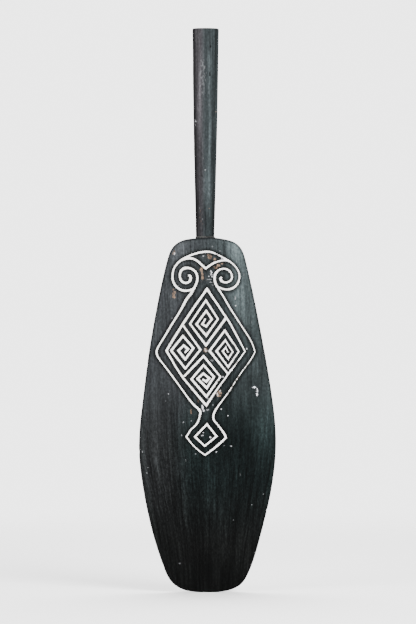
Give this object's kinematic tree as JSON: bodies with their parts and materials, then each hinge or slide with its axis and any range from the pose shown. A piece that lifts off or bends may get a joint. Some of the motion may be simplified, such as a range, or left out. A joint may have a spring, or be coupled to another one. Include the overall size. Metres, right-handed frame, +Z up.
{
  "type": "carved wooden paddle",
  "caption": "Short hand-carved canoe paddle, a broad leaf-shaped blade on a faceted tapering shaft, with a lime-filled engraved front of scrolls and meanders.",
  "frame": {"origin": "on the shaft's axis at the throat, where the shaft's foot meets the crown of the blade's shoulder", "axes": "+Z up the shaft, the carved front faces -Y, +X is to the right of someone who looks at the front"},
  "size_m": [0.2433, 0.036, 1.0003],
  "materials": {
    "blade_wood": "black-green stain, low sheen, worn",
    "shaft_wood": "black stain over adze facets, low sheen",
    "glue": "set glue",
    "filler": "pale filler, rubbed",
    "lime": "dry white lime, matt"
  },
  "bodies": {
    "root": {"blade": "blade_wood", "shaft": "shaft_wood", "tenon_glue": "glue", "foot_bead": "filler", "lime_left_scroll": "lime", "lime_left_flank": "lime", "lime_pendant_outline": "lime", "lime_right_flank": "lime", "lime_right_scroll": "lime", "lime_crest": "lime", "lime_left_brow": "lime", "lime_right_brow": "lime", "lime_border": "lime", "lime_top_meander": "lime", "lime_left_meander": "lime", "lime_right_meander": "lime", "lime_bottom_meander": "lime", "lime_pendant_core": "lime"}
  },
  "joints": []
}
